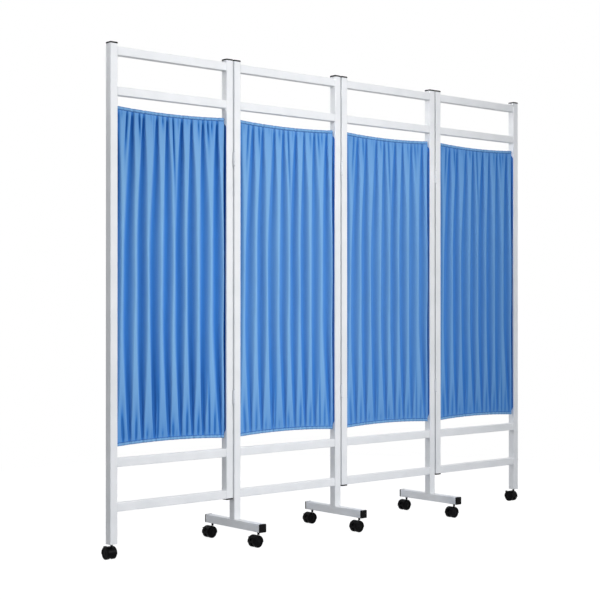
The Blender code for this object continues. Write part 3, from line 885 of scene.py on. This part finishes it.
def gatherDepth(share, distance, gathers):
    depth = 0.0
    for place, drift, size, width, reach in gathers:
        if distance > gatherFade["end"] * reach:
            continue
        centre = place + drift * min(1.0, distance / reach)
        spread = width * (1 + gatherFade["spread"] * distance / reach)
        depth += size * exp(-(distance / reach) ** 2 - ((share - centre) / spread) ** 2)
    return depth


def crownFlats(near):
    # near a hem the crowns widen and the creases between them draw in to lines
    return [clamped(strength * exp(-near / reach) - drop, most)
            for most, strength, reach, drop in curtain["flats"]]


# painted shade of the cloth at a point: darker in creases and gathers, near the hems and beside the left
# upright
def paintedShadeAt(share, shape, rising, gathers, opened, fromTop, fromBottom):
    tones = paintedFoldShades
    topReach, bottomStart, bottomReach = tones["crowding"]
    crowded = max(exp(-fromTop / topReach), exp(-max(0.0, fromBottom - bottomStart) / bottomReach))
    contrast = tones["hemContrast"] + (1 - tones["hemContrast"]) * opened
    tone = 0.5 - 0.5 * shape * contrast + gathers * tones["gathers"]
    tone += tones["creases"][0] * crowded * max(0.0, -shape) ** tones["creases"][1]
    tone += tones["top"][0] * exp(-fromTop / tones["top"][1])
    tone += tones["bottom"][0] * exp(-fromBottom / tones["bottom"][1]) + tones["rising"] * rising * opened
    left, reach = tones["stitched"]
    tone = 0.5 + (tone - 0.5) * (left + (1 - left) * ease(min(fromTop, fromBottom) / reach))
    tone += tones["side"][0] * exp(-(share / tones["side"][1]) ** 2)
    deepest = tones["deepest"][0] - tones["deepest"][1] * exp(-fromBottom / tones["bottom"][1])
    return clamped(tone, deepest) / tones["deepest"][0]


def clothPoint(share, height, knots):
    # the sheet's middle surface: the front of the screen is at -y; its edges run on into the hems
    inside = hem["height"] - curtain["inHem"]
    low, high = edgeHeight(share, False) + inside, edgeHeight(share, True) - inside
    z = low + (high - low) * height
    fromTop, fromBottom = max(high - curtain["inHem"] - z, 0.0), max(z - low - curtain["inHem"], 0.0)
    near = min(fromTop, fromBottom)
    freed = ease(near / curtain["freed"])
    opened = 1 - exp(-near / curtain["foldRise"])
    depth = curtain["hemFoldDepth"] + (curtain["foldDepth"] - curtain["hemFoldDepth"]) * opened
    shape, rising = foldShape(share, knots, crownFlats(near))
    gathers = gatherDepth(share, fromTop, topGathers) + gatherDepth(share, fromBottom, bottomGathers)
    across, down, size = curtain["ripple"]
    held = curtain["held"] + (1 - curtain["held"]) * freed
    y = -depth * held * shape + gathers * freed - curtain["setBack"]
    y += noise.noise(Vector((share * across, z * down, 2.5))) * size * freed
    tone = paintedShadeAt(share, shape, rising, gathers, opened, fromTop, fromBottom)
    return Vector((curtain["width"] * (share - 0.5), y, z)), tone


def weaveFaces(bm, weave, grid, steps, flatPlace):
    # quads between the grid's rows, which close where steps is a whole row;
    # flatPlace gives a corner's place on the flat cloth
    for row in range(len(grid) - 1):
        for step in range(steps):
            corners = ((row, step), (row, step + 1), (row + 1, step + 1), (row + 1, step))
            face = bm.faces.new([grid[level][along % len(grid[level])] for level, along in corners])
            for loop, corner in zip(face.loops, corners):
                loop[weave].uv = flatPlace(*corner)


def clothMesh(material):
    columns, rows, crowding = curtain["columns"], curtain["rows"], curtain["rowCrowding"]
    waves = [cos(pi * step / rows) for step in range(rows + 1)]
    heights = [0.5 - 0.5 * wave * (1 - crowding + crowding * abs(wave)) for wave in waves]
    bm = bmesh.new()
    weave = bm.loops.layers.uv.new("cloth")
    paintedShadeLayer = bm.verts.layers.float.new("foldTone")
    grid, across = [], []
    span = curtain["top"] - curtain["bottom"]
    for height in heights:
        z = curtain["bottom"] + span * height
        knots = knotsAt(curtain["top"] - z, z - curtain["bottom"], z)
        points = [clothPoint(share, height, knots) for share in evenShares(curtain["inset"], columns)]
        # the edge gather along the upright, coloured with painted shade
        start = points[-1][0]
        forward = ease((min(z - curtain["bottom"], curtain["top"] - z) - edge["start"]) / edge["rise"])
        sway, turns, phase = edge["sway"]
        more, reach = edge["atTop"]
        front = -edge["front"] - sway * sin(turns * z + phase) - more * exp((z - curtain["top"]) / reach)
        front = max(front, -edge["most"])
        for step in range(1, edge["columns"] + 1):
            along = step / edge["columns"]
            shift = Vector((edge["slope"] * min(1.0, 3 * along), (front - start.y) * along * forward, 0))
            points.append((start + shift, edge["tone"]))
        row, run, places = [], 0.0, []
        for point, tone in points:
            if row:
                run += (point - row[-1].co).length
            vert = bm.verts.new(point)
            vert[paintedShadeLayer] = tone
            row.append(vert)
            places.append(run)
        grid.append(row)
        across.append(places)
    weaveFaces(bm, weave, grid, len(grid[0]) - 1, lambda row, step: (across[row][step], grid[row][step].co.z))
    flat = (sum(places[-1] for places in across) / len(across), span)
    mesh = bpy.data.meshes.new("curtainCloth")
    bm.to_mesh(mesh)
    bm.free()
    mesh.shade_smooth()
    mesh.materials.append(material)
    return mesh, flat


def shadedCopy(mesh, contrast, depth):
    # the same cloth with fainter painted folds and more painted shade overall, for the dimmer light further
    # along the screen
    copy = mesh.copy()
    for point in copy.attributes["foldTone"].data:
        point.value = min(1.0, point.value * contrast + depth)
    return copy


# Hems: flattened tubes of cloth, pinched along their stitching, with a sprung wire in each
hem = {
    "height": 0.0115,
    "thickness": 0.0052,
    "columns": 300,
    "sides": 16,
    "inset": 0.006,  # of its ends, as a share of the width
    "puff": (0.88, 0.22),  # thickness, and its change with the gathers
    "flatness": 0.8,
    "pinch": (0.42, 0.75),  # thickness at the stitching, and where it is full again
    "edgeWave": 0.0002,
    "clothRun": 1.3,  # metres of cloth for a metre of hem
    "clothRound": 0.026,
    # painted shade: a little in its middle, more at the outer edge and at the stitching (strength, start,
    # reach); a painted highlight on a gather
    "tone": 0.16,
    "outerTone": (0.55, 0.5, 0.35),
    "stitchTone": (0.75, 0.35, 0.4),
    "gatherTone": 0.12,
}
stitch = {
    "count": 108,  # lockstitches of 3 mm, one every 4 mm
    "inset": 0.012,
    "length": 0.7,
    "proud": (0.0009, 0.0003),
    "above": 0.0012,  # from the hem's inner edge
    "radii": (0.00018, 0.00028, 0.00028, 0.00018),
}
wire = {"steps": 240, "inset": 0.016, "drop": 0.42, "radius": 0.0009, "winding": 0.0001}
hook = {
    "clear": 0.0003,
    "plate": ((0, 0.0030), (0.0005, 0.0031), (0.0008, 0.0026), (0.0009, 0.0011), (0.0040, 0.0011)),
    "eye": 0.0062,  # from the upright to the eye's middle
    "eyeRadius": 0.0024,
    "wireRadius": 0.0007,
    "steps": 28,
}
hemKnots = {True: knotsAt(0.0, 1.0, 1.4), False: knotsAt(1.0, 0.0, 0.4)}


def hemPoint(share, top, drop, forward=0.0):
    # a point that sways with the folds, drop metres inside the hem's outer edge
    sway = -curtain["held"] * curtain["hemFoldDepth"] * foldShape(share, hemKnots[top], crownFlats(0.0))[0]
    return Vector((curtain["width"] * (share - 0.5), sway + forward - curtain["setBack"],
                   edgeHeight(share, top) - (drop if top else -drop)))


def hemWave(share, top):
    # small gathers of the channel round its wire: 23, 41 and 63 in its length, the broad ones unevenly spaced
    phase = 0.0 if top else 1.9
    along = 2 * pi * share
    return (0.5 * sin(23 * along + 2.0 * sin(3 * along + phase) + phase)
            + 0.3 * sin(41 * along + 1.5 * sin(5 * along + phase)) + 0.2 * sin(63 * along + phase))


def hemMesh(top, material):
    bm = bmesh.new()
    weave = bm.loops.layers.uv.new("cloth")
    paintedShadeLayer = bm.verts.layers.float.new("foldTone")
    count, sides = hem["columns"], hem["sides"]
    loops = []
    for share in evenShares(hem["inset"], count):
        wave = hemWave(share, top)
        ring = []
        for side in range(sides):
            turn = 2 * pi * side / sides
            rise = sin(turn)  # 1 at the outer edge, -1 at the stitching
            pinched, full = hem["pinch"]
            thick = hem["thickness"] / 2 * (hem["puff"][0] + hem["puff"][1] * wave)
            thick *= abs(cos(turn)) ** hem["flatness"]
            thick *= pinched + (1 - pinched) * ease((rise + 1.0) / full)
            drop = hem["height"] / 2 * (1 - rise) + hem["edgeWave"] * wave
            vert = bm.verts.new(hemPoint(share, top, drop, thick * (1 if cos(turn) > 0 else -1)))
            # painted shade at the outer edge and in the stitching's pinch, a painted highlight where a gather
            # bulges
            outer, outerStart, outerReach = hem["outerTone"]
            stitched, stitchStart, stitchReach = hem["stitchTone"]
            tone = hem["tone"] + outer * ease((rise - outerStart) / outerReach) - hem["gatherTone"] * wave
            tone += stitched * ease((-stitchStart - rise) / stitchReach)
            vert[paintedShadeLayer] = clamped(tone)
            ring.append(vert)
        loops.append(ring)
    clothRun, clothRound = curtain["width"] * hem["clothRun"], hem["clothRound"]
    weaveFaces(bm, weave, loops, sides, lambda row, side: (clothRun * row / count, clothRound * side / sides))
    bm.faces.new(loops[0])
    bm.faces.new(loops[-1])
    return meshFrom("topHem" if top else "bottomHem", bm, material, "cloth")


def stitchMesh(material):
    # along both hems, front and back
    bm = bmesh.new()
    count, inset, length = stitch["count"], stitch["inset"], stitch["length"]
    lift, bow = stitch["proud"]
    for top in (True, False):
        for index in range(count):
            for face in (-1, 1):
                path = []
                for part in (0, 1 / 3, 2 / 3, 1):
                    share = inset + (index + (1 - length) / 2 + length * part) * (1 - 2 * inset) / count
                    path.append(hemPoint(share, top, hem["height"] - stitch["above"],
                                         face * (lift + bow * sin(pi * part))))
                addBead(bm, path, (0, 0, 1), stitch["radii"], 6, False)
    return meshFrom("hemStitches", bm, material, "cloth")


def hookMesh():
    # a screw eye in the upright at each end of each hem wire
    bm = bmesh.new()
    turns = [2 * pi * step / hook["steps"] for step in range(hook["steps"])]
    for top in (True, False):
        z = hemPoint(0.0, top, hem["height"] / 2).z
        for side in (-1, 1):
            wallX = side * (curtain["width"] / 2 + hook["clear"])
            turned(bm, [(wallX - side * out, radius) for out, radius in hook["plate"]], "X", (0, 0, z), 24)
            centre = Vector((wallX - side * hook["eye"], 0, z))
            path = [centre + hook["eyeRadius"] * Vector((cos(turn), 0, sin(turn))) for turn in turns]
            addBead(bm, path, (0, 1, 0), [hook["wireRadius"]] * len(path), 8)
    return meshFrom("curtainHooks", bm, zincPlate)


def wireMesh(material):
    # the sprung wire in each channel, closely wound under its sleeve
    bm = bmesh.new()
    for top in (True, False):
        path, radii = [], []
        for step, share in enumerate(evenShares(wire["inset"], wire["steps"])):
            path.append(hemPoint(share, top, hem["height"] * wire["drop"]))
            radii.append(wire["radius"] + wire["winding"] * (step % 2))
        addBead(bm, path, (0, 1, 0), radii, 8, False)
    return meshFrom("hemWires", bm, material)


# Woven polyester, piece-dyed blue: pale and soft on the crowns, with painted shade where folds crowd together
fabric = {
    "thread": 0.0011,  # metres; real threads are about 0.4 mm, drawn coarser so that they show
    "slub": 0.0035,
    "relief": 0.0002,
    "sheenColour": "#9CC4F0",
}


def bandScale(pitch):
    # wave textures repeat every 2 pi / 20 of their scale
    return 2 * pi / 20 / pitch


def polyester(name, base, bands, strength, tones, slubRun, uneven):
    # bands are the thread directions that show, slubRun the slubs in a metre of thread, tones the ramp from the
    # lit blue to the painted shade
    material, tree, shader = newMaterial(name, {
        "Base Color": base, "Roughness": 0.85, "Specular IOR Level": 0.04,
        "Sheen Weight": 0.03, "Sheen Roughness": 0.4, "Sheen Tint": fabric["sheenColour"]})
    uv = addNode(tree, "UVMap", uv_map="cloth").outputs["UV"]
    threads = [addNode(tree, "TexWave", {
        "Vector": uv, "Scale": bandScale(fabric["thread"]), "Distortion": 0.4, "Detail": 1.0},
        wave_type="BANDS", bands_direction=direction).outputs["Fac"] for direction in bands]
    height = threads[0]
    if len(threads) > 1:
        crossing = addNode(tree, "Math", {0: threads[0], 1: threads[1]}, operation="SUBTRACT")
        height = addNode(tree, "Math", {0: crossing.outputs[0]}, operation="ABSOLUTE").outputs[0]
    addNode(tree, "Bump", {"Height": height, "Distance": fabric["relief"], "Strength": strength},
            shader.inputs["Normal"])
    # the painted shade that the mesh carries picks a blue from the ramp
    paintedShadeNode = addNode(tree, "Attribute", attribute_name="foldTone")
    shadedBlue = addNode(tree, "ValToRGB", {"Fac": paintedShadeNode.outputs["Fac"]})
    setTones(shadedBlue.color_ramp, tones)
    stretch = addNode(tree, "Mapping", {"Vector": uv, "Scale": (1 / fabric["slub"], slubRun, 1)})
    slub = addNode(tree, "TexNoise", {"Vector": stretch.outputs["Vector"], "Scale": 1.0, "Detail": 3.0})
    change = addNode(tree, "MapRange", {
        "Value": slub.outputs["Fac"], "To Min": 1 - uneven, "To Max": 1 + uneven})
    addNode(tree, "VectorMath", {"Vector": shadedBlue.outputs["Color"], "Scale": change.outputs["Result"]},
            shader.inputs["Base Color"], operation="SCALE")
    return material


def ridged(name, look, direction, pitch, strength):
    material, tree, shader = newMaterial(name, look)
    spot = addNode(tree, "TexCoord").outputs["Object"]
    ridges = addNode(tree, "TexWave", {"Vector": spot, "Scale": bandScale(pitch)},
                     wave_type="BANDS", bands_direction=direction)
    addNode(tree, "Bump", {"Height": ridges.outputs["Fac"], "Distance": 0.0001, "Strength": strength},
            shader.inputs["Normal"])
    return material


# A plain weave: warp and weft cross in a fine relief
# its ramp runs from the lit crown's blue to the painted shade of the creases
wovenBlue = polyester("plain-woven blue polyester", "#86B9E9", "XY", 0.3,
                      ((0.08, "#86B9E9"), (0.76, "#4285D3"), (1.0, "#1F58A2")), 9, 0.07)

# The same cloth folded double over the wire: its gathers catch light in small ridges
# its ramp's darker blue is painted shade at the hem's outer edge and stitching
hemBlue = polyester("double blue polyester hem", "#6FA2DA", "X", 0.25,
                    ((0.1, "#84B6E4"), (0.9, "#2A61AE")), 60, 0.12)

# Spun polyester thread: the same blue, a little brighter where it stands proud
threadBlue = ridged("spun blue polyester thread", {
    "Base Color": "#7FB0E4", "Roughness": 0.7, "Sheen Weight": 0.2, "Sheen Roughness": 0.4},
    "DIAGONAL", 0.0006, 0.4)

# Soft PVC sleeve on the hem wire: smooth milky white
wireSleeve = ridged("extruded white PVC sleeve", {
    "Base Color": "#E8E9EA", "Roughness": 0.35, "IOR": 1.53}, "X", 0.0012, 0.2)

clothShape, flatSize = clothMesh(wovenBlue)
topHem, bottomHem = hemMesh(True, hemBlue), hemMesh(False, hemBlue)
stitches, hooks, wires = stitchMesh(threadBlue), hookMesh(), wireMesh(wireSleeve)
for panel, facts in panels.items():
    place = (sum(facts["legs"]) / 2, 0, 0)
    body = f"panel_{panel}"
    cloth = addPiece(f"panel{panel}Curtain", shadedCopy(clothShape, *curtain["tints"][panel]), body,
                     [f"panel_{panel}_curtain"], place, weighted=False)
    hems = [addPiece(f"panel{panel}{label}", shape, body, (), place, weighted=False)
            for label, shape in (("TopHem", topHem), ("BottomHem", bottomHem), ("Stitches", stitches))]
    addPiece(f"panel{panel}Hooks", hooks, body, (), place)
    addPiece(f"panel{panel}Wires", wires, body, (), place)
print("curtains, flat size", [round(side, 3) for side in flatSize])
